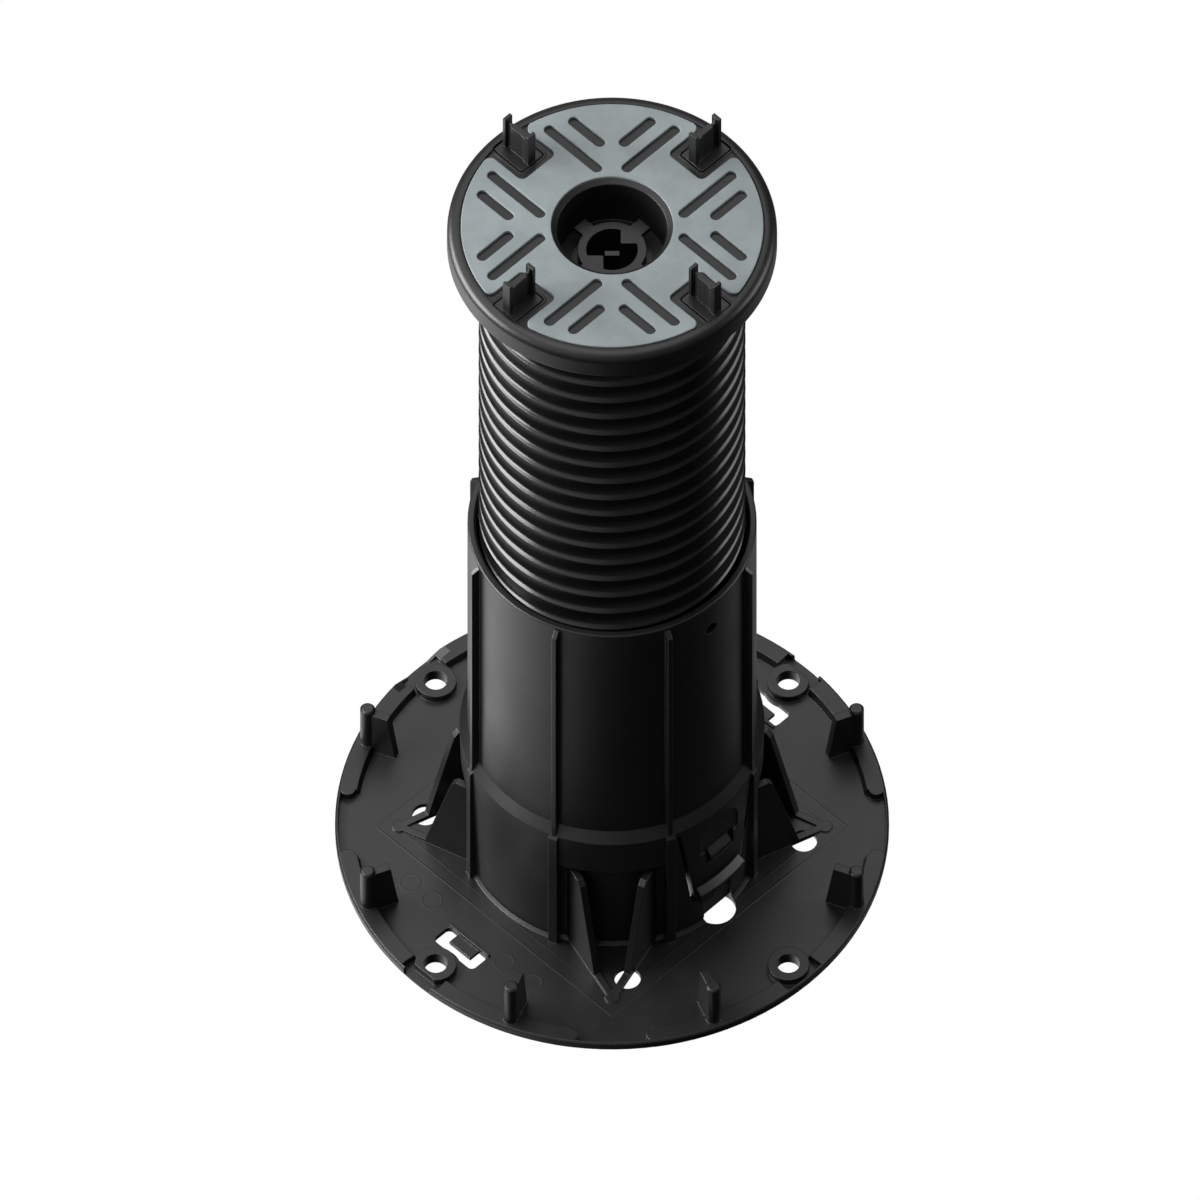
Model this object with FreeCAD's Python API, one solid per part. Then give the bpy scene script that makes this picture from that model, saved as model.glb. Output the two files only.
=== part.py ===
import FreeCAD, Part
import math
import os

from FreeCAD import Vector

# Adjustable pedestal for raised decking, in mm.
# The origin is at the centre of the base on the ground, +Z is up and -Y is the front.

# Clearances between pieces
SEAT_GAP = 0.3
THREAD_GAP = 0.35
BORE_GAP = 1.0
SNAP_GAP = 0.2

# Screw column and its buttress thread
SCREW_R = 48.2
THREAD_DEPTH = 2.5
THREAD_LEAD = 9.8
CREST = 3.3
LOAD_FLANK_DROP = 0.7
LONG_FLANK_RISE = 5.3
SCREW_WALL = 3.0
SCREW_LENGTH = 195.2
SCREW_HELD = 22.2
THREAD_PHASE = 3.2
THREAD_SUNK = 0.4
CREST_BULGE = 0.55

# Base plate
PLATE_R = 100.0
PLATE_T = 2.0
EDGE_BEVEL = 1.6
EDGE_HEIGHT = 1.8
LIP_WIDTH = 1.1
KERB_WIDTH = 6.8
KERB_TOP = 5.0
KERB_SLOPE = 1.0
KERB_FROM = 9.0
KERB_TO = 40.0
KERB_ROUND = 0.6

# Notches in the lip of the plate: angle, half width at the foot, slant of each end
NOTCH_FLOOR_R = 95.6
RIM_NOTCHES = ((45.0, 6.4, 0.3), (225.0, 6.4, 0.3), (135.0, 5.0, 10.8))

# Hooked slots in the plate, inside two of the bosses
HOOK_ANGLES = (45.0, 225.0)
HOOK_FROM = 73.2
HOOK_WIDTH = 8.3
HOOK_HALF = 9.9
HOOK_ROUND = 2.0
HOOK_COLLAR = 1.7
HOOK_TONGUE = 4.5
HOOK_TONGUE_HALF = 5.3
HOOK_TONGUE_DROP = 0.6
HOOK_BEAD_T = 1.1
HOOK_BEAD_H = 1.0

# Fixing holes in raised bosses
FIXING_COUNT = 4
FIXING_CIRCLE_R = 90.0
FIXING_HOLE_R = 4.2
BOSS_R = 7.5

# Posts that stand on the kerb
POST_CIRCLE_R = 95.5
POST_R = 2.7
POST_TOP = 24.8
POST_ROUND = 0.7
WEB_TOP = 23.1
WEB_T = 3.2
WEB_FOOT_REACH = 11.6
WEB_HEAD_REACH = 8.4

# Tube of the base
TUBE_TOP = 187.2
TUBE_WALL = 3.0
TUBE_BEVEL = 0.8
RIB_COUNT = 8
RIB_H = 2.9
RIB_T = 1.8
RIB_DROP = 1.4
RIB_NOSE = 2.2
BAND_H = 2.9
SHOULDER_LOW = 65.0
SHOULDER_RISE = 4.6
BAND_DRAFT = 1.5
PANEL_LOW = 47.7
FOOT_RIB_H = 1.1
FOOT_RIB_T = 3.4
FOOT_BEAD = 1.2
HOLLOW_DEPTH = 1.8
HOLLOW_ROOF = 2.6
HOLLOW_SIDE = 2.2
STOP_HOLE_R = 2.7
STOP_HOLE_Z = 173.1
STOP_HOLE_ANGLE = -46.8

# Buttresses, a V of two fins on each axis of the base
FIN_T = 2.6
FIN_SPREAD = 14.8
FIN_APEX_R = 79.5
FIN_TOP = 45.2
FIN_CORNER = 2.0
FIN_SHOULDER_S = 6.8
FIN_KNEE_S = 16.2
FIN_KNEE_Z = 8.0
FIN_ANKLE_S = 17.4
FIN_ANKLE_Z = 3.1
FIN_TOE_Z = 2.7
DRAIN_HOLE_R = 4.8
DRAIN_HOLES = ((68.2, -85.3), (69.5, -5.2), (69.5, 95.0), (67.6, 175.3))

# Lock tongue in the wall of the base
TONGUE_ANGLE = -44.2
TONGUE_TOP = 62.5
TONGUE_FOOT = 18.6
TONGUE_TOP_HALF = 18.0
TONGUE_FOOT_HALF = 11.2
TONGUE_SLOT = 1.4
TONGUE_LIP_H = 4.5
TONGUE_LIP_REACH = 1.9
TONGUE_LIP_RISE = 2.3
RELIEF_HALF = 9.5
RELIEF_FOOT = 44.0
RELIEF_TOP = 61.0
RELIEF_DEPTH = 1.7
POCKET_HALF = 7.2
POCKET_FOOT = 36.5
POCKET_DEPTH = 2.5
SILL_HALF = 5.2
SILL_FOOT = 38.6
SILL_FRONT_H = 2.0
SILL_RISE = 3.0
ARCH_HALF = 7.0
ARCH_TOP = 22.0
LATCH_HOLE_R = 7.3
LATCH_HOLE_TOP = 3.9

# Head
HEAD_R = 59.6
SKIRT_T = 2.0
SKIRT_DROP = 5.5
HEAD_T = 4.3
RIM_TOP = 10.6
RIM_ROUND = 3.5
PAD_R = 54.6
PAD_T = 1.2
PAD_RECESS_GAP = 0.5
WELL_R = 20.0
WELL_WALL = 2.2
WELL_CHAMFER = 2.1
WELL_FLOOR_T = 2.4
HEAD_GUSSETS = 16
HEAD_GUSSET_T = 1.6

# Pad on the head
PAD_HOLE_R = 22.1
SLOT_HALF = 2.1
LONG_SLOT_V = 14.5
LONG_SLOT_U = (22.3, 46.3)
SHORT_SLOT_V = 23.3
SHORT_SLOT_U = (29.7, 42.8)
NOTCH_U = 37.0
NOTCH_HALF = 8.8
NOTCH_ROUND = 2.5
PAD_CORNER = 2.6

# Spacer tabs on the diagonals of the head
TAB_ANGLES = (45.0, 135.0, 225.0, 315.0)
TAB_FOOT_FROM = 40.6
TAB_FOOT_LENGTH = 14.4
TAB_FOOT_HALF = 5.4
TAB_FOOT_ROUND = 0.8
TAB_POCKET_WALL = 1.1
TAB_POCKET_LEAD = 0.5
TAB_POCKET_LEAD_H = 1.6
TAB_FROM = 40.9
TAB_TO = 54.0
TAB_HALF = 1.8
TAB_TOP = 15.0
TAB_POST = 1.3
TAB_GROOVE = 2.3
TAB_GROOVE_HALF = 0.5
TAB_PANEL_HALF = 1.2
TAB_FLARE_FROM = 9.2
TAB_FLARE_TO = 11.4
TAB_DIP = 2.3
TAB_DIP_SLOPE = 0.9
TAB_TURNED = (225.0, 315.0)

# Drive bush in the well
BUSH_R = 12.5
BUSH_BORE_R = 9.3
BUSH_LUG_R = 16.7
BUSH_LUG_HALF = 2.8
BUSH_LUG_T = 2.2
BUSH_TOP_BELOW_PAD = 14.4
BUSH_STAND = 6.5
BUSH_COLLAR_R = 14.8
BUSH_COLLAR_T = 1.6
BUSH_LENGTH = 22.0
KEY_TOOTH_X = 3.1
KEY_TOOTH_Y = 2.7
KEY_TOOTH_T = 5.0
KEY_ROUND = 0.8
PEG_HALF_X = 2.6
PEG_HALF_Y = 1.0
PEG_BELOW_RING = 2.4

# Top of the screw column
DECK_T = 2.6
CUP_WALL = 2.4
DECK_RIBS = 8
DECK_RIB_T = 2.0
DECK_RIB_DROP = 14.0
HUB_WALL = 2.4

# Sizes that follow from the ones above
ROOT_R = SCREW_R - THREAD_DEPTH
SCREW_BORE_R = ROOT_R - SCREW_WALL
BORE_R = SCREW_R + BORE_GAP
TUBE_R = BORE_R + TUBE_WALL
BAND_R = TUBE_R + BAND_H
BAND_FOOT_R = BAND_R - BAND_DRAFT
FOOT_RIB_R = BAND_R + FOOT_RIB_H
KERB_R = PLATE_R - KERB_WIDTH
SKIRT_Z = TUBE_TOP + SCREW_LENGTH - SCREW_HELD + SEAT_GAP - SKIRT_DROP
HEAD_UNDER_Z = SKIRT_Z + SKIRT_DROP
HEAD_TOP_Z = HEAD_UNDER_Z + HEAD_T
PAD_TOP_Z = HEAD_TOP_Z + PAD_T
SCREW_TOP_Z = HEAD_UNDER_Z - SEAT_GAP
SCREW_FOOT_Z = SCREW_TOP_Z - SCREW_LENGTH
THREAD_FOOT_Z = SCREW_FOOT_Z + THREAD_PHASE
RING_TOP_Z = PAD_TOP_Z - BUSH_TOP_BELOW_PAD
WELL_FLOOR_Z = RING_TOP_Z - BUSH_LUG_T - BUSH_STAND
WELL_UNDER_Z = WELL_FLOOR_Z - WELL_FLOOR_T
CUP_FLOOR_Z = WELL_UNDER_Z - SEAT_GAP
CUP_R = WELL_R + WELL_WALL + SEAT_GAP
BUSH_FOOT_Z = RING_TOP_Z - BUSH_LENGTH


def turned(outline, start=0.0, sweep=360.0):
    """Turn a closed outline of (radius, height) points about the axis."""
    points = [Vector(r, 0, z) for r, z in outline]
    face = Part.Face(Part.makePolygon(points + points[:1]))
    solid = face.revolve(Vector(0, 0, 0), Vector(0, 0, 1), sweep)
    return around(solid, start)


def around(shape, angle):
    """A copy turned about the axis."""
    copy = shape.copy()
    copy.rotate(Vector(0, 0, 0), Vector(0, 0, 1), angle)
    return copy


def ring(inner, outer, low, high, start=0.0, sweep=360.0):
    """A plain ring, or a sector of one."""
    return turned([(inner, low), (outer, low), (outer, high), (inner, high)], start, sweep)


def drum(radius, low, high, x=0.0, y=0.0):
    """A solid cylinder standing at x, y."""
    return Part.makeCylinder(radius, high - low, Vector(x, y, low))


def on_circle(radius, angle):
    """The x and y of a point on a circle round the axis."""
    return radius * math.cos(math.radians(angle)), radius * math.sin(math.radians(angle))


def radial_slab(outline, thickness):
    """A flat plate in the XZ plane, from (radius, height) points."""
    points = [Vector(r, -thickness / 2, z) for r, z in outline]
    face = Part.Face(Part.makePolygon(points + points[:1]))
    return face.extrude(Vector(0, thickness, 0))


def block(x0, x1, y0, y1, z0, z1):
    """A box between two corners."""
    return Part.makeBox(x1 - x0, y1 - y0, z1 - z0, Vector(x0, y0, z0))


def rounded_block(x0, x1, y0, y1, z0, z1, radius):
    """A box with its upright edges rounded."""
    box = block(x0, x1, y0, y1, z0, z1)
    upright = [e for e in box.Edges if abs(e.Vertexes[0].Z - e.Vertexes[1].Z) > (z1 - z0) / 2]
    return box.makeFillet(radius, upright)


def helical_ridge(outline, start_z, height, bulge=0.0):
    """Sweep a closed (radius, height) outline along the helix of the thread.

    The outline's second side is the crest, and a bulge rounds it."""
    edges = []
    for number in range(int(height // THREAD_LEAD) + 1):
        rise = min(THREAD_LEAD, height - number * THREAD_LEAD)
        if rise > SEAT_GAP:
            helix = Part.makeHelix(THREAD_LEAD, rise, SCREW_R)
            helix.translate(Vector(0, 0, number * THREAD_LEAD))
            edges.extend(helix.Edges)
    points = [Vector(r, 0, z) for r, z in outline]
    sides = [Part.LineSegment(a, b).toShape() for a, b in zip(points, points[1:] + points[:1])]
    if bulge:
        middle = (points[1] + points[2]) * 0.5 + Vector(bulge, 0, 0)
        sides[1] = Part.Arc(points[1], middle, points[2]).toShape()
    ridge = Part.Wire(edges).makePipeShell([Part.Wire(sides)], True, True)
    ridge.translate(Vector(0, 0, start_z))
    return ridge


def joined(first, others):
    """One solid from pieces that overlap."""
    solid = first.multiFuse(others)
    return solid.removeSplitter()


# Base, one moulding

def hooked_slot():
    """The cuts for one slot, which leave a low tongue and a collar round the boss."""
    slot_cut = rounded_block(
        HOOK_FROM, HOOK_FROM + HOOK_WIDTH, -HOOK_HALF, HOOK_HALF, -1, KERB_TOP, HOOK_ROUND)
    collar = drum(BOSS_R + HOOK_COLLAR, -1, KERB_TOP, FIXING_CIRCLE_R)
    tongue_top = PLATE_T - HOOK_TONGUE_DROP
    tongue = block(
        HOOK_FROM - 1, HOOK_FROM + HOOK_TONGUE, -HOOK_TONGUE_HALF, HOOK_TONGUE_HALF, -2, tongue_top)
    return slot_cut.cut([collar, tongue])


def hooked_slot_bead():
    """The low bead along the inner edge of a hooked slot."""
    return block(
        HOOK_FROM - HOOK_BEAD_T, HOOK_FROM, -HOOK_HALF, HOOK_HALF, PLATE_T / 2, PLATE_T + HOOK_BEAD_H)


def rim_notch(angle, half, slant):
    """The cut for one notch in the lip, down to the top of the plate."""
    far = PLATE_R + 1
    rise = KERB_TOP + 1 - PLATE_T
    points = [
        Vector(NOTCH_FLOOR_R, -half, PLATE_T), Vector(NOTCH_FLOOR_R, half, PLATE_T),
        Vector(NOTCH_FLOOR_R, half + slant, PLATE_T + rise),
        Vector(NOTCH_FLOOR_R, -half - slant, PLATE_T + rise)]
    face = Part.Face(Part.makePolygon(points + points[:1]))
    return around(face.extrude(Vector(far - NOTCH_FLOOR_R, 0, 0)), angle)


def base_plate():
    """The disc with its bevelled edge, thin lip, kerb arcs, bosses and holes."""
    lip_r = PLATE_R - LIP_WIDTH
    disc = turned([
        (BORE_R, 0), (PLATE_R - EDGE_BEVEL, 0), (PLATE_R, EDGE_HEIGHT),
        (PLATE_R, KERB_TOP - KERB_ROUND), (PLATE_R - KERB_ROUND, KERB_TOP), (lip_r, KERB_TOP),
        (lip_r, PLATE_T), (BORE_R, PLATE_T)])
    kerb_outline = [
        (KERB_R - KERB_SLOPE, PLATE_T / 2), (lip_r + LIP_WIDTH / 2, PLATE_T / 2),
        (lip_r + LIP_WIDTH / 2, KERB_TOP), (KERB_R, KERB_TOP), (KERB_R - KERB_SLOPE, PLATE_T)]
    raised = []
    for quarter in range(4):
        for start in (KERB_FROM, 90 - KERB_TO):
            raised.append(turned(kerb_outline, 90 * quarter + start, KERB_TO - KERB_FROM))
        for end in (KERB_FROM, 90 - KERB_FROM):
            x, y = on_circle(PLATE_R - KERB_WIDTH / 2, 90 * quarter + end)
            raised.append(drum(KERB_WIDTH / 2 - LIP_WIDTH / 2, PLATE_T / 2, KERB_TOP, x, y))
    holes = []
    for number in range(FIXING_COUNT):
        x, y = on_circle(FIXING_CIRCLE_R, 45 + number * 360 / FIXING_COUNT)
        raised.append(drum(BOSS_R, PLATE_T / 2, KERB_TOP, x, y))
        holes.append(drum(FIXING_HOLE_R, -1, KERB_TOP + 1, x, y))
    for radius, angle in DRAIN_HOLES:
        x, y = on_circle(radius, angle)
        holes.append(drum(DRAIN_HOLE_R, -1, KERB_TOP + 1, x, y))
    for angle in HOOK_ANGLES:
        raised.append(around(hooked_slot_bead(), angle))
        holes.append(around(hooked_slot(), angle))
    for angle, half, slant in RIM_NOTCHES:
        holes.append(rim_notch(angle, half, slant))
    return joined(disc, raised).cut(holes)


def post():
    """A round pin on the kerb with a tapering web on its inner side."""
    pin = turned([
        (0, PLATE_T), (POST_R, PLATE_T), (POST_R, POST_TOP - POST_ROUND),
        (POST_R - POST_ROUND, POST_TOP), (0, POST_TOP)])
    pin.translate(Vector(POST_CIRCLE_R, 0, 0))
    web = radial_slab([
        (POST_CIRCLE_R - WEB_FOOT_REACH, PLATE_T / 2), (POST_CIRCLE_R, PLATE_T / 2),
        (POST_CIRCLE_R, WEB_TOP), (POST_CIRCLE_R - WEB_HEAD_REACH, WEB_TOP)], WEB_T)
    return pin.fuse(web)


def base_tube():
    """The tube with its shoulder, the band below it and the hollows in the band."""
    tube = turned([
        (BORE_R, 0), (TUBE_R + FOOT_BEAD, 0), (TUBE_R + FOOT_BEAD, PLATE_T),
        (TUBE_R, PLATE_T + FOOT_BEAD), (TUBE_R, TUBE_TOP - TUBE_BEVEL / 2),
        (TUBE_R - TUBE_BEVEL / 2, TUBE_TOP), (BORE_R + TUBE_BEVEL, TUBE_TOP),
        (BORE_R, TUBE_TOP - TUBE_BEVEL)])
    middle_r = (BORE_R + TUBE_R) / 2
    panel_r = BAND_R - BAND_DRAFT * (SHOULDER_LOW - PANEL_LOW) / (SHOULDER_LOW - PLATE_T)
    band = turned([
        (middle_r, PANEL_LOW), (panel_r, PANEL_LOW), (BAND_R, SHOULDER_LOW),
        (TUBE_R, SHOULDER_LOW + SHOULDER_RISE), (middle_r, SHOULDER_LOW + SHOULDER_RISE)])
    skin_outline = [
        (middle_r, PLATE_T / 2), (BAND_FOOT_R + FOOT_BEAD, PLATE_T / 2),
        (BAND_FOOT_R + FOOT_BEAD, PLATE_T), (BAND_FOOT_R, PLATE_T + FOOT_BEAD),
        (panel_r, PANEL_LOW), (middle_r, PANEL_LOW)]
    skins = []
    hollows = []
    for quarter in range(4):
        start = 22.5 + 90 * quarter
        skins.append(turned(skin_outline, start, 45))
        hollows.append(ring(
            BORE_R - 1, BORE_R + HOLLOW_DEPTH, -1, SHOULDER_LOW - HOLLOW_ROOF,
            start + HOLLOW_SIDE, 45 - 2 * HOLLOW_SIDE))
    return joined(tube, [band] + skins).cut(hollows)


def tube_rib():
    """A slim rib on the tube, wider and deeper on the band."""
    nose_z = TUBE_TOP - RIB_DROP
    upper = radial_slab([
        (TUBE_R - 1, PLATE_T / 2), (TUBE_R + RIB_H, PLATE_T / 2), (TUBE_R + RIB_H, nose_z - RIB_NOSE),
        (TUBE_R, nose_z), (TUBE_R - 1, nose_z)], RIB_T)
    lower = radial_slab([
        (TUBE_R - 1, PLATE_T / 2), (FOOT_RIB_R, PLATE_T / 2), (FOOT_RIB_R, SHOULDER_LOW - FOOT_RIB_H),
        (BAND_R, SHOULDER_LOW), (TUBE_R - 1, SHOULDER_LOW)], FOOT_RIB_T)
    return upper.fuse(lower)


def fin(side):
    """One fin of a buttress; it runs from the tube to the apex of the V."""
    foot = Vector(TUBE_R, side * FIN_SPREAD, 0)
    apex = Vector(FIN_APEX_R, 0, 0)
    run = apex - foot
    length = run.Length
    outline = [
        (-3, PLATE_T / 2), (-3, FIN_TOP), (FIN_SHOULDER_S - FIN_CORNER, FIN_TOP),
        (FIN_SHOULDER_S, FIN_TOP - FIN_CORNER), (FIN_KNEE_S, FIN_KNEE_Z),
        (FIN_ANKLE_S, FIN_ANKLE_Z), (length - FIN_T, FIN_TOE_Z), (length - FIN_T, PLATE_T / 2)]
    slab = radial_slab(outline, FIN_T)
    slab.translate(Vector(0, -side * FIN_T / 2, 0))
    slab.rotate(Vector(0, 0, 0), Vector(0, 0, 1), math.degrees(math.atan2(run.y, run.x)))
    slab.translate(foot)
    return slab


def buttress():
    """The V of two fins with its round toe, cut clear of the bore."""
    fins = fin(1).fuse(fin(-1))
    toe = drum(FIN_T, PLATE_T / 2, FIN_TOE_Z, FIN_APEX_R - FIN_T, 0)
    whole = fins.fuse(toe)
    return whole.cut(drum(TUBE_R - TUBE_WALL / 2, -1, FIN_TOP + 1))


def tongue_frame(half_top, half_foot, low, high, near, far):
    """A block with a trapezoid face, standing across the tongue's direction."""
    points = [Vector(near, -half_foot, low), Vector(near, half_foot, low),
              Vector(near, half_top, high), Vector(near, -half_top, high)]
    face = Part.Face(Part.makePolygon(points + points[:1]))
    return around(face.extrude(Vector(far - near, 0, 0)), TONGUE_ANGLE)


def tongue_slots():
    """The gap down both sides of the tongue and under its foot."""
    near = TUBE_R - TUBE_WALL
    far = FOOT_RIB_R + 2
    outer = tongue_frame(
        TONGUE_TOP_HALF + TONGUE_SLOT, TONGUE_FOOT_HALF + TONGUE_SLOT,
        TONGUE_FOOT - TONGUE_SLOT, TONGUE_TOP, near, far)
    inner = tongue_frame(
        TONGUE_TOP_HALF, TONGUE_FOOT_HALF, TONGUE_FOOT, TONGUE_TOP + 1, near - 1, far + 1)
    return outer.cut(inner)


def tongue_lip():
    """The lip at the tongue's foot, sloped on top."""
    half_angle = math.degrees(math.asin((TONGUE_FOOT_HALF - 0.2) / BAND_R))
    inner_r = BAND_FOOT_R - 1
    outer_r = BAND_R + TONGUE_LIP_REACH
    edge_z = TONGUE_FOOT + TONGUE_LIP_H
    return turned([
        (inner_r, TONGUE_FOOT), (outer_r, TONGUE_FOOT), (outer_r, edge_z),
        (BAND_FOOT_R, edge_z + TONGUE_LIP_RISE), (inner_r, edge_z + TONGUE_LIP_RISE)],
        TONGUE_ANGLE - half_angle, 2 * half_angle)


def arched_block(half, low, top, near, far):
    """A block with a round top, standing across the tongue's direction."""
    spring = top - half
    straight = block(near, far, -half, half, low, spring)
    arch = Part.makeCylinder(half, far - near, Vector(near, 0, spring), Vector(1, 0, 0))
    return around(straight.fuse(arch), TONGUE_ANGLE)


def finger_relief():
    """The arched recess on the tongue's face with the pocket below it."""
    far = FOOT_RIB_R + 2
    recess = arched_block(RELIEF_HALF, RELIEF_FOOT, RELIEF_TOP, BAND_R - RELIEF_DEPTH, far)
    pocket = block(
        BAND_R - POCKET_DEPTH, far, -POCKET_HALF, POCKET_HALF, POCKET_FOOT, RELIEF_FOOT + 1)
    return recess.fuse(around(pocket, TONGUE_ANGLE))


def finger_sill():
    """The bar in the pocket, sloped on top, that the finger pulls on."""
    front_z = SILL_FOOT + SILL_FRONT_H
    bar = radial_slab([
        (BAND_R - POCKET_DEPTH - 0.5, SILL_FOOT), (BAND_R, SILL_FOOT), (BAND_R, front_z),
        (BAND_R - POCKET_DEPTH - 0.5, front_z + SILL_RISE)], 2 * SILL_HALF)
    return around(bar, TONGUE_ANGLE)


def base_thread():
    """The inner thread of the tube, seated in the groove of the screw."""
    drop = LOAD_FLANK_DROP / THREAD_DEPTH
    rise = LONG_FLANK_RISE / THREAD_DEPTH
    wall_r = BORE_R + THREAD_SUNK
    crest_below = THREAD_LEAD - CREST - LONG_FLANK_RISE

    def load_side(r):
        return -THREAD_GAP - drop * (SCREW_R - r)

    def long_side(r):
        return -crest_below - rise * (r - THREAD_GAP - ROOT_R)

    tip_r = ROOT_R + 2 * THREAD_GAP + THREAD_GAP
    height = TUBE_TOP - TUBE_BEVEL - THREAD_FOOT_Z - THREAD_GAP - CREST
    return helical_ridge([
        (wall_r, load_side(wall_r)), (tip_r, load_side(tip_r)), (tip_r, long_side(tip_r)),
        (wall_r, long_side(wall_r))], THREAD_FOOT_Z, height)


def base():
    """The whole base moulding."""
    plate = base_plate()
    pieces = [base_tube()]
    for number in range(RIB_COUNT):
        angle = (number + 0.5) * 360 / RIB_COUNT
        pieces.append(around(tube_rib(), angle))
        pieces.append(around(post(), angle))
    for quarter in range(4):
        pieces.append(around(buttress(), 90 * quarter))
    solid = joined(plate, pieces)
    solid = solid.fuse(tongue_lip())
    arch = arched_block(ARCH_HALF, PLATE_T, ARCH_TOP, TUBE_R, FOOT_RIB_R + 2)
    x, y = on_circle(TUBE_R, TONGUE_ANGLE)
    latch_hole = drum(LATCH_HOLE_R, -1, LATCH_HOLE_TOP, x, y)
    solid = solid.cut([tongue_slots(), arch, finger_relief(), latch_hole])
    solid = solid.fuse(finger_sill()).fuse(base_thread())
    x, y = on_circle(1, STOP_HOLE_ANGLE)
    stop_hole = Part.makeCylinder(
        STOP_HOLE_R, 2 * TUBE_WALL + RIB_H + THREAD_DEPTH,
        Vector(x * (BORE_R - THREAD_DEPTH), y * (BORE_R - THREAD_DEPTH), STOP_HOLE_Z), Vector(x, y, 0))
    return solid.cut(stop_hole)


# Screw column, one moulding

def screw():
    """The hollow column with its thread, its deck, and the cup and hub for the head."""
    hub_r = BUSH_R + HUB_WALL
    core = turned([
        (SCREW_BORE_R, SCREW_FOOT_Z), (ROOT_R, SCREW_FOOT_Z), (ROOT_R, SCREW_TOP_Z),
        (CUP_R, SCREW_TOP_Z), (CUP_R, CUP_FLOOR_Z), (BUSH_R, CUP_FLOOR_Z),
        (BUSH_R, BUSH_FOOT_Z - DECK_T), (hub_r, BUSH_FOOT_Z - DECK_T),
        (hub_r, CUP_FLOOR_Z - DECK_T), (CUP_R + CUP_WALL, CUP_FLOOR_Z - DECK_T),
        (CUP_R + CUP_WALL, SCREW_TOP_Z - DECK_T), (SCREW_BORE_R, SCREW_TOP_Z - DECK_T)])
    load_dip = LOAD_FLANK_DROP * (1 + THREAD_SUNK / THREAD_DEPTH)
    long_rise = LONG_FLANK_RISE * (1 + THREAD_SUNK / THREAD_DEPTH)
    sunk_r = ROOT_R - THREAD_SUNK
    ridge_height = SCREW_TOP_Z - THREAD_FOOT_Z - CREST - long_rise - SEAT_GAP
    corner_r = SCREW_R - CREST_BULGE
    ridge = helical_ridge([
        (sunk_r, -load_dip), (corner_r, 0), (corner_r, CREST), (sunk_r, CREST + long_rise)],
        THREAD_FOOT_Z, ridge_height, CREST_BULGE)
    pieces = [drum(BUSH_R + HUB_WALL / 2, BUSH_FOOT_Z - DECK_T, BUSH_FOOT_Z)]
    peg_top = RING_TOP_Z - PEG_BELOW_RING
    pieces.append(block(
        -PEG_HALF_X, PEG_HALF_X, -PEG_HALF_Y, PEG_HALF_Y, BUSH_FOOT_Z - DECK_T / 2, peg_top))
    for number in range(DECK_RIBS):
        rib = radial_slab([
            (CUP_R + CUP_WALL / 2, SCREW_TOP_Z - DECK_T / 2),
            (CUP_R + CUP_WALL / 2, CUP_FLOOR_Z),
            (SCREW_BORE_R + SCREW_WALL / 2, CUP_FLOOR_Z - DECK_RIB_DROP + DECK_T),
            (SCREW_BORE_R + SCREW_WALL / 2, SCREW_TOP_Z - DECK_T / 2)], DECK_RIB_T)
        pieces.append(around(rib, (number + 0.5) * 360 / DECK_RIBS))
    return joined(core, pieces).fuse(ridge)


# Drive bush

def drive_bush():
    """The ring that holds the head down and takes the adjusting key."""
    barrel = ring(BUSH_BORE_R, BUSH_R - SNAP_GAP / 2, BUSH_FOOT_Z, RING_TOP_Z)
    collar_z = WELL_FLOOR_Z + SEAT_GAP
    pieces = [ring(BUSH_BORE_R + 1, BUSH_COLLAR_R, collar_z, collar_z + BUSH_COLLAR_T)]
    for angle in TAB_ANGLES:
        lug = block(
            BUSH_BORE_R + 1, BUSH_LUG_R, -BUSH_LUG_HALF, BUSH_LUG_HALF, RING_TOP_Z - BUSH_LUG_T, RING_TOP_Z)
        pieces.append(around(lug, angle))
    bore = drum(BUSH_BORE_R + 0.5, RING_TOP_Z - KEY_TOOTH_T, RING_TOP_Z)
    far = BUSH_R
    for turn in (0, 180):
        corner = rounded_block(
            KEY_TOOTH_X, far, KEY_TOOTH_Y, far, RING_TOP_Z - KEY_TOOTH_T, RING_TOP_Z, KEY_ROUND)
        pieces.append(around(corner, turn).common(bore))
    return joined(barrel, pieces)


# Head

def tab_pocket_wall():
    """The raised frame round a spacer tab's foot."""
    grow = SNAP_GAP + TAB_POCKET_WALL
    return rounded_block(
        TAB_FOOT_FROM - grow, HEAD_R - RIM_ROUND, -TAB_FOOT_HALF - grow, TAB_FOOT_HALF + grow,
        HEAD_UNDER_Z, SKIRT_Z + RIM_TOP - PAD_RECESS_GAP, TAB_FOOT_ROUND + TAB_POCKET_WALL)


def tab_pocket():
    """The pocket that a spacer tab snaps into, with a wider mouth to lead it in."""
    def opening(gap, low):
        return rounded_block(
            TAB_FOOT_FROM - gap, TAB_FOOT_FROM + TAB_FOOT_LENGTH + gap,
            -TAB_FOOT_HALF - gap, TAB_FOOT_HALF + gap, low, PAD_TOP_Z + 1, TAB_FOOT_ROUND + gap)

    mouth_z = SKIRT_Z + RIM_TOP - PAD_RECESS_GAP - TAB_POCKET_LEAD_H
    return opening(SNAP_GAP, HEAD_UNDER_Z + HEAD_T / 2).fuse(opening(TAB_POCKET_LEAD, mouth_z))


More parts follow.
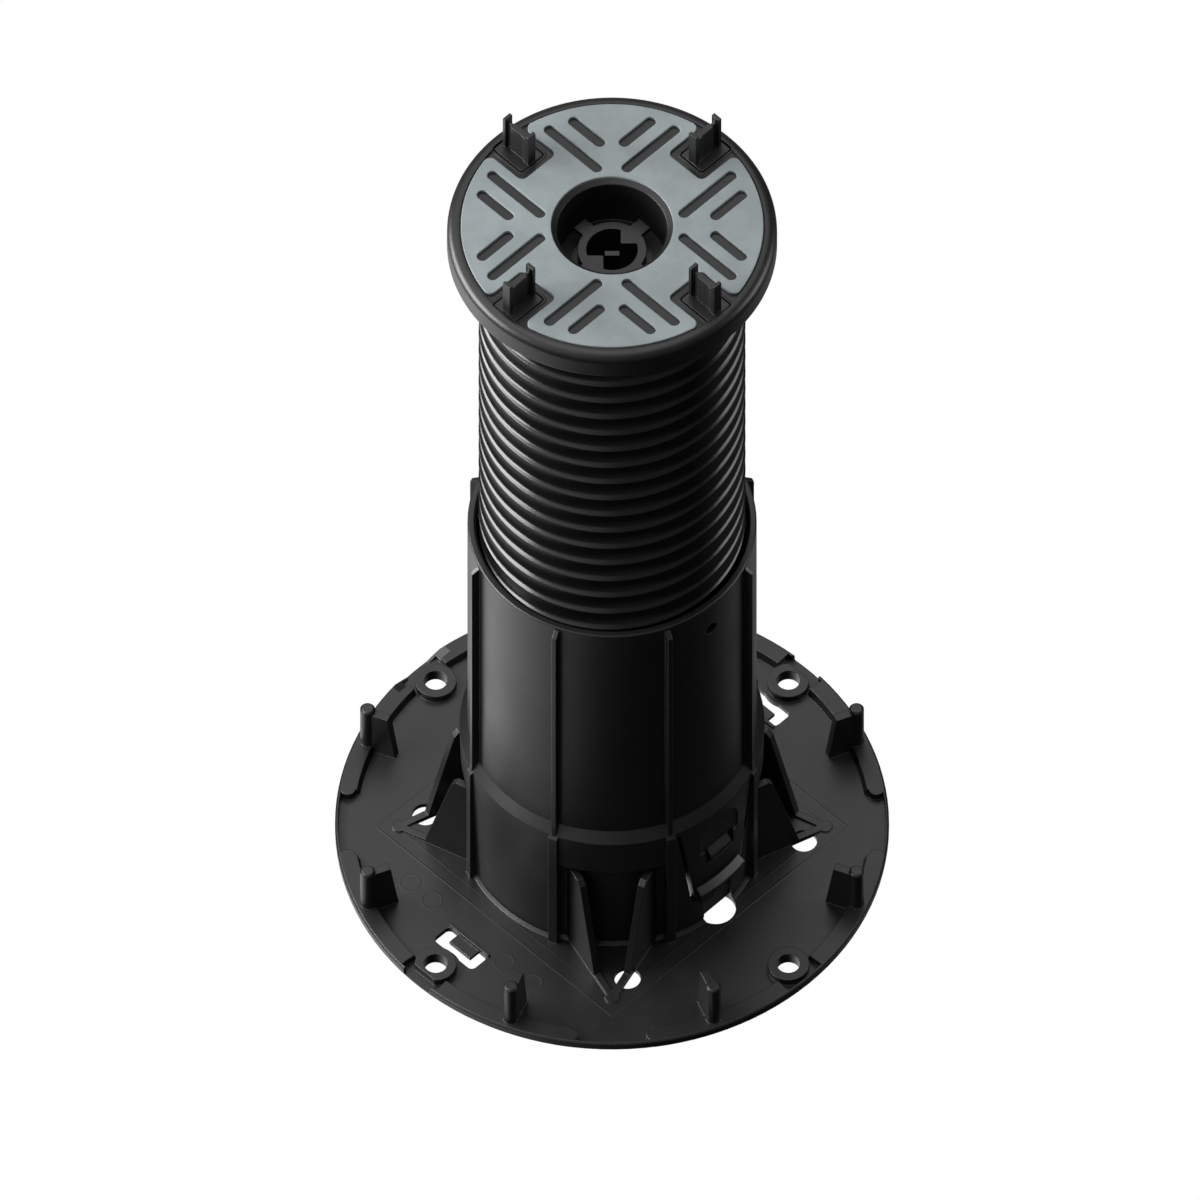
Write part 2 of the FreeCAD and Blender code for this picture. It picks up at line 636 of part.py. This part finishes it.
def head():
    """The round head with its skirt, rim and well."""
    rim_z = SKIRT_Z + RIM_TOP
    recess_r = PAD_R + PAD_RECESS_GAP
    well_out = WELL_R + WELL_WALL
    shell = turned([
        (BUSH_R + SEAT_GAP, WELL_UNDER_Z), (well_out, WELL_UNDER_Z), (well_out, HEAD_UNDER_Z),
        (HEAD_R - SKIRT_T, HEAD_UNDER_Z), (HEAD_R - SKIRT_T, SKIRT_Z), (HEAD_R, SKIRT_Z),
        (HEAD_R, rim_z), (recess_r, rim_z),
        (recess_r, HEAD_TOP_Z), (WELL_R + WELL_CHAMFER, HEAD_TOP_Z),
        (WELL_R + WELL_CHAMFER, PAD_TOP_Z - WELL_CHAMFER / 2), (WELL_R, PAD_TOP_Z - WELL_CHAMFER),
        (WELL_R, WELL_FLOOR_Z), (BUSH_R + SEAT_GAP, WELL_FLOOR_Z)])
    rim_edge = [e for e in shell.Edges if e.BoundBox.ZMin > rim_z - 0.01 and e.BoundBox.XMax > HEAD_R - 0.1]
    shell = shell.makeFillet(RIM_ROUND, rim_edge)
    pieces = []
    for number in range(HEAD_GUSSETS):
        gusset = radial_slab([
            (SCREW_R + 1, HEAD_UNDER_Z + HEAD_T / 2), (SCREW_R + 1, HEAD_UNDER_Z),
            (HEAD_R - SKIRT_T, SKIRT_Z + 1), (HEAD_R - SKIRT_T / 2, HEAD_UNDER_Z + HEAD_T / 2)],
            HEAD_GUSSET_T)
        pieces.append(around(gusset, (number + 0.5) * 360 / HEAD_GUSSETS))
    inside = drum(recess_r + 0.3, HEAD_UNDER_Z, PAD_TOP_Z)
    for angle in TAB_ANGLES:
        pieces.append(around(tab_pocket_wall(), angle).common(inside))
    pockets = [around(tab_pocket(), angle) for angle in TAB_ANGLES]
    return joined(shell, pieces).cut(pockets)


# Pad

def slot(u_range, v):
    """A through slot with round ends, along u at the offset v."""
    low = HEAD_TOP_Z - 1
    high = PAD_TOP_Z + 1
    middle = block(u_range[0], u_range[1], v - SLOT_HALF, v + SLOT_HALF, low, high)
    ends = [drum(SLOT_HALF, low, high, u, v) for u in u_range]
    return middle.multiFuse(ends)


def pad():
    """The grey cushion disc with its slots and the notches for the tabs."""
    disc = ring(PAD_HOLE_R, PAD_R, HEAD_TOP_Z, PAD_TOP_Z)
    cuts = []
    for angle in TAB_ANGLES:
        notch = rounded_block(
            NOTCH_U, PAD_R + 10, -NOTCH_HALF, NOTCH_HALF, HEAD_TOP_Z - 1, PAD_TOP_Z + 1, NOTCH_ROUND)
        cuts.append(around(notch, angle))
        for side in (1, -1):
            cuts.append(around(slot(LONG_SLOT_U, side * LONG_SLOT_V), angle))
            cuts.append(around(slot(SHORT_SLOT_U, side * SHORT_SLOT_V), angle))
    whole = disc.cut(cuts)
    corners = []
    for edge in whole.Edges:
        point = edge.Vertexes[0].Point
        upright = edge.BoundBox.ZLength > PAD_T / 2 and edge.BoundBox.XLength < 0.01
        if upright and math.hypot(point.x, point.y) > PAD_R - 0.01:
            corners.append(edge)
    return whole.makeFillet(PAD_CORNER, corners)


# Spacer tabs

def spacer_tab(angle):
    """A joint spacer: a blade between two posts, grooved at one end, on a square foot."""
    foot_z = HEAD_UNDER_Z + HEAD_T / 2
    foot = rounded_block(
        TAB_FOOT_FROM, TAB_FOOT_FROM + TAB_FOOT_LENGTH, -TAB_FOOT_HALF, TAB_FOOT_HALF,
        foot_z, SKIRT_Z + RIM_TOP - PAD_RECESS_GAP, TAB_FOOT_ROUND)
    length = TAB_TO - TAB_FROM
    side = [
        (0, TAB_HALF), (TAB_POST, TAB_HALF), (TAB_POST, TAB_GROOVE_HALF),
        (TAB_POST + TAB_GROOVE, TAB_GROOVE_HALF), (TAB_POST + TAB_GROOVE, TAB_PANEL_HALF),
        (TAB_FLARE_FROM, TAB_PANEL_HALF), (TAB_FLARE_TO, TAB_HALF), (length, TAB_HALF)]
    plan = [(TAB_TO - u, v) for u, v in side] + [(TAB_TO - u, -v) for u, v in reversed(side)]
    points = [Vector(u, v, foot_z) for u, v in plan]
    blade = Part.Face(Part.makePolygon(points + points[:1])).extrude(Vector(0, 0, PAD_TOP_Z + TAB_TOP - foot_z))
    top = PAD_TOP_Z + TAB_TOP
    dip = radial_slab([
        (TAB_FROM + TAB_POST, top + 1), (TAB_FROM + TAB_POST, top),
        (TAB_FROM + TAB_POST + TAB_DIP_SLOPE, top - TAB_DIP),
        (TAB_TO - TAB_POST - TAB_DIP_SLOPE, top - TAB_DIP),
        (TAB_TO - TAB_POST, top), (TAB_TO - TAB_POST, top + 1)], 4 * TAB_HALF)
    blade = blade.cut(dip)
    if angle in TAB_TURNED:
        blade.rotate(Vector((TAB_FROM + TAB_TO) / 2, 0, 0), Vector(0, 0, 1), 180)
    return joined(foot, [blade])


def save(node, shape):
    """Write one node as a STEP file and print what it holds."""
    shape.exportStep("parts/" + node + ".step")
    print(node, "solids", len(shape.Solids), "valid", shape.isValid(), "volume", round(shape.Volume))


os.makedirs("parts", exist_ok=True)
save("base", base())
save("screw", screw())
save("drive_bush", drive_bush())
save("head", head())
save("pad", pad())
for number, angle in enumerate(TAB_ANGLES, start=1):
    save("spacer_tab_" + str(number), around(spacer_tab(angle), angle))
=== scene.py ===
import math

import bpy
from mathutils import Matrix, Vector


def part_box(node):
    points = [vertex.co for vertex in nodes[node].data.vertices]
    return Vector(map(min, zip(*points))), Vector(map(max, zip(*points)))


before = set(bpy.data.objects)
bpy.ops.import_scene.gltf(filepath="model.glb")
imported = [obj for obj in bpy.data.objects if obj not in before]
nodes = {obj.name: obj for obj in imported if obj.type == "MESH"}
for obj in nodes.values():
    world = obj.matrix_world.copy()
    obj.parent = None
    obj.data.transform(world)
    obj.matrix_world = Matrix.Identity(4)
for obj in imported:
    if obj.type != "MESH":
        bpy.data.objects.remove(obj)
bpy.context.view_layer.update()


# The base: plate, bosses, posts, buttresses and tube in one moulding of black polypropylene.
# The mould's fine spark-eroded skin is left on it, and dust and boot wear catch on its edges.
# The plate's top keeps the scribed square, the ejector rings and two pin marks of its mould.

class Shade:
    """A value that changes over a surface, so that shader maths reads as plain sums."""

    def __init__(self, tree, socket=None):
        self.tree = tree
        self.socket = socket

    def node(self, kind, settings=(), inputs=(), out=0):
        made = self.tree.nodes.new(kind)
        for name, value in dict(settings).items():
            setattr(made, name, value)
        for name, value in dict(inputs).items():
            if isinstance(value, Shade):
                self.tree.links.new(value.socket, made.inputs[name])
            else:
                made.inputs[name].default_value = value
        return Shade(self.tree, made.outputs[out])

    def sum_of(self, operation, *terms):
        return self.node("ShaderNodeMath", {"operation": operation}, enumerate(terms))

    def __add__(self, other):
        return self.sum_of("ADD", self, other)

    def __sub__(self, other):
        return self.sum_of("SUBTRACT", self, other)

    def __rsub__(self, other):
        return self.sum_of("SUBTRACT", other, self)

    def __mul__(self, other):
        return self.sum_of("MULTIPLY", self, other)

    def __truediv__(self, other):
        return self.sum_of("DIVIDE", self, other)

    def __pow__(self, other):
        return self.sum_of("POWER", self, other)

    def __abs__(self):
        return self.sum_of("ABSOLUTE", self)

    __radd__ = __add__
    __rmul__ = __mul__

    def clipped(self, low, high, to_low=0.0, to_high=1.0):
        sizes = {"Value": self, "From Min": low, "From Max": high, "To Min": to_low, "To Max": to_high}
        return self.node("ShaderNodeMapRange", {"interpolation_type": "SMOOTHSTEP"}, sizes)

    def lesser(self, other):
        return self.sum_of("MINIMUM", self, other)

    def larger(self, other):
        return self.sum_of("MAXIMUM", self, other)


def finish_of(name):
    """A new material, its shader node and a Shade to start its sums from."""
    made = bpy.data.materials.new(name)
    made.use_nodes = True
    return made, made.node_tree.nodes["Principled BSDF"], Shade(made.node_tree)


def place_in_metres(start):
    """The x, y and z of a point of the surface."""
    place = start.node("ShaderNodeTexCoord", out="Object")
    split = place.node("ShaderNodeSeparateXYZ", inputs={"Vector": place}).socket.node
    return place, [Shade(start.tree, split.outputs[axis]) for axis in "XYZ"]


def clouds(place, per_metre, detail=3.0, roughness=0.55):
    size = {"Vector": place, "Scale": per_metre, "Detail": detail, "Roughness": roughness}
    return place.node("ShaderNodeTexNoise", inputs=size)


def along(one, other):
    """The dot product of two directions."""
    return one.node("ShaderNodeVectorMath", {"operation": "DOT_PRODUCT"}, {0: one, 1: other}, "Value")


EDGE_LEAN_FROM = 0.02
EDGE_LEAN_TO = 0.22


def rounded_edge(start, radius):
    """The normal over an edge rounded to that radius, and how far it leans from the flat face."""
    softened = start.node("ShaderNodeBevel", {"samples": 6}, {"Radius": radius})
    flat = start.node("ShaderNodeNewGeometry", out="Normal")
    return softened, (1 - along(softened, flat)).clipped(EDGE_LEAN_FROM, EDGE_LEAN_TO)


STEEPEST_DUSTY = 0.6
FLAT_ENOUGH = 0.98


def facing_up(start):
    normal = start.node("ShaderNodeNewGeometry", out="True Normal")
    upward = normal.node("ShaderNodeSeparateXYZ", inputs={"Vector": normal}, out="Z")
    return upward.clipped(STEEPEST_DUSTY, FLAT_ENOUGH)


def tint(start, mask, under, over):
    """One colour where the mask is 0 and the other where it is 1."""
    return start.node("ShaderNodeMix", {"data_type": "RGBA"}, {0: mask, 6: (*under, 1), 7: (*over, 1)}, 2)


SKIN_PER_METRE = 1500
FLOW_PER_METRE = 42
DUST_PER_METRE = 160
RUB_PER_METRE = 300
FLOW_TO_GRAIN = 2.2
POLYPROPYLENE_IOR = 1.5


def black_moulding(name, dark, worn, roughness, grain_height, edge, marks=None, soft_edges=True):
    """Black polypropylene: spark-eroded skin, faint flow clouds, and edges rubbed a little lighter."""
    made, shader, start = finish_of(name)
    place, axes = place_in_metres(start)
    skin = clouds(place, SKIN_PER_METRE, detail=2.0)
    flow = clouds(place, FLOW_PER_METRE, detail=4.0, roughness=0.62)
    dust = clouds(place, DUST_PER_METRE, detail=5.0, roughness=0.7).clipped(0.5, 0.78) * facing_up(start)
    softened, edges = rounded_edge(start, edge)
    rubbed = edges * clouds(place, RUB_PER_METRE, detail=3.0).clipped(0.3, 0.62)
    lighter = (rubbed * 0.75 + dust * 0.16 + (flow - 0.5) * 0.12).clipped(0.0, 1.0)
    start.tree.links.new(tint(start, lighter, dark, worn).socket, shader.inputs["Base Color"])
    rough = roughness + (flow - 0.5) * 0.16 + (skin - 0.5) * 0.08 + dust * 0.06 - rubbed * 0.07
    start.tree.links.new(rough.socket, shader.inputs["Roughness"])
    height = skin * grain_height + flow * (grain_height * FLOW_TO_GRAIN)
    if marks:
        height = height + marks(start, axes)
    relief = {"Height": height, "Strength": 1.0, "Distance": 1.0}
    if soft_edges:
        relief["Normal"] = softened
    start.tree.links.new(start.node("ShaderNodeBump", inputs=relief).socket, shader.inputs["Normal"])
    shader.inputs["IOR"].default_value = POLYPROPYLENE_IOR
    return made


PLATE_TOP = 0.002
SCRIBED_LINE_W = 0.0007
SCRIBED_LINE_H = 0.00006
SCRIBED_SQUARE_REACH = 0.085
SCRIBED_SQUARE_STEP = 0.0072
INNER_LINE_SHARE = 0.6
EJECTOR_RINGS = ((-0.073, -0.025), (-0.065, -0.033), (-0.039, -0.061), (-0.029, -0.070))
EJECTOR_RING_R = 0.0037
EJECTOR_RING_W = 0.0004
EJECTOR_RING_SHARE = 0.8
PIN_MARKS = ((-0.013, -0.096), (0.013, -0.096))
PIN_MARK_R = 0.0009
PIN_MARK_SHARE = 3
SHOULDER_TOP_Z = 0.0696
SHOULDER_H = 0.0046
SHOULDER_CAMBER = 0.15


def base_marks(start, axes):
    """The scribed square, rings and pins on the plate's top, and the camber of the tube's shoulder."""
    x, y, z = axes
    leaning = abs(x) + abs(y)
    outer = abs(leaning - SCRIBED_SQUARE_REACH).clipped(0, SCRIBED_LINE_W, 1, 0)
    inner = abs(leaning - (SCRIBED_SQUARE_REACH - SCRIBED_SQUARE_STEP)).clipped(0, SCRIBED_LINE_W, 1, 0)
    raised = outer + inner * INNER_LINE_SHARE
    for ring_x, ring_y in EJECTOR_RINGS:
        far = ((x - ring_x) ** 2 + (y - ring_y) ** 2) ** 0.5
        raised = raised + abs(far - EJECTOR_RING_R).clipped(0, EJECTOR_RING_W, EJECTOR_RING_SHARE, 0)
    for pin_x, pin_y in PIN_MARKS:
        far = ((x - pin_x) ** 2 + (y - pin_y) ** 2) ** 0.5
        raised = raised - far.clipped(PIN_MARK_R * 0.6, PIN_MARK_R, PIN_MARK_SHARE, 0)
    on_top = abs(z - PLATE_TOP).clipped(0.0002, 0.0005, 1, 0)
    down_shoulder = (SHOULDER_TOP_Z - z).larger(0.0).lesser(SHOULDER_H)
    return raised * on_top * SCRIBED_LINE_H + down_shoulder * SHOULDER_CAMBER


base_finish = black_moulding(
    "base_black", dark=(0.0070, 0.0071, 0.0076), worn=(0.040, 0.041, 0.043), roughness=0.37,
    grain_height=0.000010, edge=0.0005, marks=base_marks)
nodes["base"].material_slots[0].material = base_finish


# The screw: a hollow column with one coarse buttress thread, moulded in the same black plastic.
# Each turn's long flank is dished and runs out into a crest that leans up to its lower edge, and
# turning in the tube has drawn fine rings on the crests.

THREAD_LEAD = 0.0098
THREAD_FOOT_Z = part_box("screw")[0][2] + 0.0032
SCREW_BORE_R = 0.0435
SCREW_ROOT_R = 0.0457
CREST_SHARE = 0.337
FLANK_TOP_SHARE = 0.857
FLANK_SWELL = 0.0012
FLANK_DIP = 0.0018
CREST_SWELL = 0.0042
CREST_RINGS_H = 0.000003
CREST_RINGS_PER_METRE = 2600
RINGS_WANDER_PER_METRE = 40


def thread_relief(start, axes):
    """How the flanks and crests swell, told by the place of a point along the turn of the thread."""
    x, y, z = axes
    turns_up = (z - THREAD_FOOT_Z) / THREAD_LEAD - x.sum_of("ARCTAN2", y, x) / (2 * math.pi)
    share = turns_up.sum_of("FRACT", turns_up)
    down_flank = ((FLANK_TOP_SHARE - share) / (FLANK_TOP_SHARE - CREST_SHARE)).larger(0.0).lesser(1.0)
    down_crest = ((CREST_SHARE - share) / CREST_SHARE).larger(0.0)
    flank = down_flank * (down_flank * FLANK_SWELL - FLANK_DIP)
    crest = down_crest * down_crest * CREST_SWELL
    out = (x * x + y * y) ** 0.5
    around = {"X": out * RINGS_WANDER_PER_METRE, "Z": z * CREST_RINGS_PER_METRE}
    bands = start.node("ShaderNodeCombineXYZ", inputs=around)
    rings = clouds(bands, 1.0, detail=2.0) * down_crest * CREST_RINGS_H
    swell = flank + crest + rings
    return swell * out.clipped(SCREW_BORE_R, SCREW_ROOT_R - 0.0003)


screw_finish = black_moulding(
    "screw_black", dark=(0.0030, 0.0031, 0.0033), worn=(0.030, 0.031, 0.033), roughness=0.24,
    grain_height=0.000002, edge=0.0003, marks=thread_relief, soft_edges=False)
nodes["screw"].material_slots[0].material = screw_finish


# The drive bush: the small lugged ring in the well that the adjusting key turns.
# It is moulded in a tougher black plastic, with a tighter skin and sharp working edges.

bush_finish = black_moulding(
    "bush_black", dark=(0.0085, 0.0086, 0.0092), worn=(0.055, 0.056, 0.058), roughness=0.36,
    grain_height=0.000005, edge=0.0003)
nodes["drive_bush"].material_slots[0].material = bush_finish


# The head: the round black moulding that turns free on the screw and carries the deck.
# Its rim is handled when the deck is levelled, so the rim's edge is rubbed brighter than the rest.

head_finish = black_moulding(
    "head_black", dark=(0.0065, 0.0066, 0.0071), worn=(0.050, 0.051, 0.053), roughness=0.38,
    grain_height=0.000009, edge=0.0006)
nodes["head"].material_slots[0].material = head_finish


# The pad: a soft grey rubber disc laid in the head's recess, to damp the deck and let it grip.
# It is pressed in a matt mould, so it has a dry even grain, with a little dust and scuffing.

PAD_GREY = (0.262, 0.298, 0.305)
PAD_PALE = (0.335, 0.365, 0.368)
PAD_DUSK = (0.215, 0.247, 0.254)
PAD_GRAIN_PER_METRE = 2600
PAD_GRAIN_H = 0.00002
PAD_BLOOM_PER_METRE = 55
PAD_BLOOM_H = 0.00003
PAD_SCUFFS_PER_METRE = 240
PAD_EDGE_R = 0.0005
RUBBER_IOR = 1.48

pad_finish, pad_shader, pad_start = finish_of("pad_grey")
pad_place = place_in_metres(pad_start)[0]
pad_grain = clouds(pad_place, PAD_GRAIN_PER_METRE, detail=3.0, roughness=0.6)
pad_bloom = clouds(pad_place, PAD_BLOOM_PER_METRE, detail=4.0, roughness=0.6)
pad_scuffs = clouds(pad_place, PAD_SCUFFS_PER_METRE, detail=6.0, roughness=0.75).clipped(0.52, 0.75)
pad_softened, pad_edges = rounded_edge(pad_start, PAD_EDGE_R)
pad_colour = tint(pad_start, pad_bloom.clipped(0.35, 0.65), PAD_DUSK, PAD_GREY)
pad_worn = (pad_scuffs * 0.25 + pad_edges * 0.5 + (pad_grain - 0.5) * 0.3).clipped(0.0, 1.0)
pad_colour = pad_start.node(
    "ShaderNodeMix", {"data_type": "RGBA"}, {0: pad_worn * 0.6, 6: pad_colour, 7: (*PAD_PALE, 1)}, 2)
pad_rough = 0.62 + (pad_bloom - 0.5) * 0.15 + (pad_grain - 0.5) * 0.1 + pad_scuffs * 0.06
pad_height = pad_grain * PAD_GRAIN_H + pad_bloom * PAD_BLOOM_H
pad_relief = {"Height": pad_height, "Normal": pad_softened, "Strength": 1.0, "Distance": 1.0}
pad_start.tree.links.new(pad_colour.socket, pad_shader.inputs["Base Color"])
pad_start.tree.links.new(pad_rough.socket, pad_shader.inputs["Roughness"])
pad_bump = pad_start.node("ShaderNodeBump", inputs=pad_relief)
pad_start.tree.links.new(pad_bump.socket, pad_shader.inputs["Normal"])
pad_shader.inputs["IOR"].default_value = RUBBER_IOR
pad_shader.inputs["Sheen Weight"].default_value = 0.08
pad_shader.inputs["Sheen Roughness"].default_value = 0.5
nodes["pad"].material_slots[0].material = pad_finish


# The four spacer tabs: black clips pushed into the head's pockets, that set the deck's joints.
# Each is a small separate moulding with a finer skin than the head's.

tab_finish = black_moulding(
    "tab_black", dark=(0.0085, 0.0086, 0.0092), worn=(0.058, 0.059, 0.061), roughness=0.38,
    grain_height=0.000006, edge=0.0004)
for number in range(1, 5):
    nodes[f"spacer_tab_{number}"].material_slots[0].material = tab_finish


# The studio: a plain white floor that runs up into a white backdrop, with no edge in view.
# It glows evenly and takes no part in the light on the pedestal.

FLOOR_Z = -0.0004
FLOOR_R = 5.0
BACKDROP_STEPS = 64
CURVE_STEP = 10

floor_finish = bpy.data.materials.new("studio_white")
floor_finish.use_nodes = True
floor_nodes = floor_finish.node_tree
floor_nodes.nodes.remove(floor_nodes.nodes["Principled BSDF"])
floor_light = Shade(floor_nodes).node("ShaderNodeEmission", inputs={"Color": (1, 1, 1, 1), "Strength": 1.0})
floor_nodes.links.new(floor_light.socket, floor_nodes.nodes["Material Output"].inputs["Surface"])

floor_mesh = bpy.data.meshes.new("studio_floor")
floor_points = [(0.0, 0.0, FLOOR_Z)]
floor_faces = []
profile = [(FLOOR_R * 0.5, FLOOR_Z)]
for degrees in range(CURVE_STEP, 90 + CURVE_STEP, CURVE_STEP):
    curve = math.radians(degrees)
    outward = FLOOR_R * (0.5 + 0.5 * math.sin(curve))
    profile.append((outward, FLOOR_Z + FLOOR_R * 0.6 * (1 - math.cos(curve))))
profile += [(FLOOR_R * 0.85, FLOOR_R * 1.2), (FLOOR_R * 0.4, FLOOR_R * 1.5), (0.02, FLOOR_R * 1.6)]
for radius, height in profile:
    for step in range(BACKDROP_STEPS):
        turn = 2 * math.pi * step / BACKDROP_STEPS
        floor_points.append((radius * math.cos(turn), radius * math.sin(turn), height))
for step in range(BACKDROP_STEPS):
    beside = (step + 1) % BACKDROP_STEPS
    floor_faces.append((0, 1 + step, 1 + beside))
    for row in range(len(profile) - 1):
        low = 1 + row * BACKDROP_STEPS
        high = low + BACKDROP_STEPS
        floor_faces.append((low + step, high + step, high + beside, low + beside))
floor_mesh.from_pydata(floor_points, [], floor_faces)
floor_mesh.materials.append(floor_finish)
floor = bpy.data.objects.new("studio_floor", floor_mesh)
bpy.context.scene.collection.objects.link(floor)
floor.visible_diffuse = False
floor.visible_glossy = False
floor.visible_transmission = False
floor.visible_shadow = False


# The light: wide soft glows all round, each with its turn from +X, its height and its reach in
# degrees and its strength. Most come from above and from the left, and the front is left in shade.
# Two softboxes beside the pedestal draw the bright lines on the crests of the thread.

world = bpy.data.worlds.new("studio_light")
bpy.context.scene.world = world
world.use_nodes = True
sky = Shade(world.node_tree)
toward = sky.node("ShaderNodeTexCoord", out="Generated")
SOFT_GLOWS = {
    "overhead, back left": (115, 60, 40, 1.3),
    "overhead, left": (180, 60, 46, 1.0),
    "overhead": (0, 90, 34, 0.7),
    "overhead, right": (30, 65, 40, 0.3),
    "front left": (236, 28, 34, 0.42),
    "front": (280, 34, 60, 0.17),
    "low on the right": (10, -12, 38, 0.08),
    "low behind": (90, -8, 42, 0.30),
    "floor on the left": (180, -58, 40, 0.95),
    "floor, back left": (145, -55, 32, 0.7),
    "floor behind": (50, -50, 30, 0.25),
    "floor in front": (300, -50, 50, 0.01),
}
DARK_ROOM = 0.006

brightness = DARK_ROOM
for turn, height, reach, strength in SOFT_GLOWS.values():
    turn, height = math.radians(turn), math.radians(height)
    centre = (math.cos(height) * math.cos(turn), math.cos(height) * math.sin(turn), math.sin(height))
    glow = along(toward, centre).clipped(math.cos(math.radians(reach)), 1.0)
    brightness = brightness + glow * strength
world.node_tree.links.new(brightness.socket, world.node_tree.nodes["Background"].inputs["Strength"])
world.node_tree.nodes["Background"].inputs["Color"].default_value = (1, 1, 1, 1)

SOFTBOXES = {
    "left_softbox": ((-0.55, 0.01, 0.46), 0.54, 0.28, 16.0),
    "right_softbox": ((0.55, 0.05, 0.46), 0.28, 0.28, 4.2),
}
LIT_HEIGHT = 0.25

for name, (place, across, tall, radiance) in SOFTBOXES.items():
    softbox = bpy.data.lights.new(name, "AREA")
    softbox.shape = "RECTANGLE"
    softbox.size = across
    softbox.size_y = tall
    softbox.energy = radiance * math.pi * across * tall
    panel = bpy.data.objects.new(name, softbox)
    panel.location = place
    panel.rotation_euler = (
        math.pi / 2 - math.atan2(place[2] - LIT_HEIGHT, math.hypot(place[0], place[1])),
        0,
        math.atan2(place[1], place[0]) + math.pi / 2,
    )
    panel.visible_camera = False
    bpy.context.scene.collection.objects.link(panel)


# The camera: a parallel view from the front, looking down at the photo's angle.
# The photo's frame is 433 mm wide at the scale of the pedestal.

CAMERA_ELEVATION = math.radians(53.4)
CAMERA_FAR = 1.5
AIM = (-0.00435, 0.06668, 0.04952)
VIEW_WIDTH = 0.4331

lens = bpy.data.cameras.new("camera")
lens.type = "ORTHO"
lens.ortho_scale = VIEW_WIDTH
lens.clip_end = FLOOR_R * 4
camera = bpy.data.objects.new("camera", lens)
camera.location = (
    AIM[0],
    AIM[1] - CAMERA_FAR * math.cos(CAMERA_ELEVATION),
    AIM[2] + CAMERA_FAR * math.sin(CAMERA_ELEVATION),
)
camera.rotation_euler = (math.pi / 2 - CAMERA_ELEVATION, 0, 0)
bpy.context.scene.collection.objects.link(camera)
bpy.context.scene.camera = camera
bpy.context.scene.view_settings.view_transform = "Standard"
